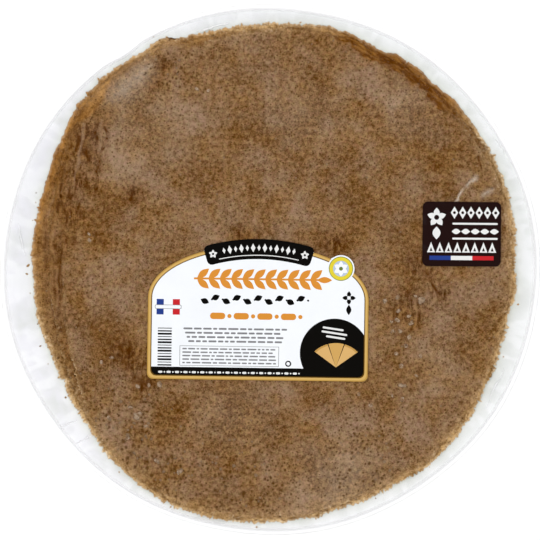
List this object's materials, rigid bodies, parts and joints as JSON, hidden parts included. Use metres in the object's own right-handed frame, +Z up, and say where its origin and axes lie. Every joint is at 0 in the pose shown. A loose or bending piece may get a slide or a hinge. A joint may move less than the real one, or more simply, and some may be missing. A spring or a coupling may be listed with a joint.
{
  "type": "film-sealed pack of buckwheat galettes",
  "caption": "Flat round pack: thin savory buckwheat crepes on a white sheet, sealed in clear film, with an arched label and a small square label.",
  "frame": {"origin": "middle of the pack's underside, at the bottom centre of its bounding box", "axes": "+Z up, out of the labelled side; +Y towards the top of the labels; +X to their right"},
  "size_m": [0.3346, 0.3288, 0.0066],
  "materials": {
    "clear_film": "gloss",
    "white_paper": "satin",
    "buckwheat": "matte",
    "buckwheat_rim": "matte",
    "front_print": "satin",
    "side_print": "satin"
  },
  "bodies": {
    "root": {"bottom_film": "clear_film", "backing_sheet": "white_paper", "galette_bottom": "buckwheat_rim", "galette_middle": "buckwheat_rim", "galette_top": "buckwheat", "top_film": "clear_film", "front_label": "front_print", "side_label": "side_print"}
  },
  "joints": []
}
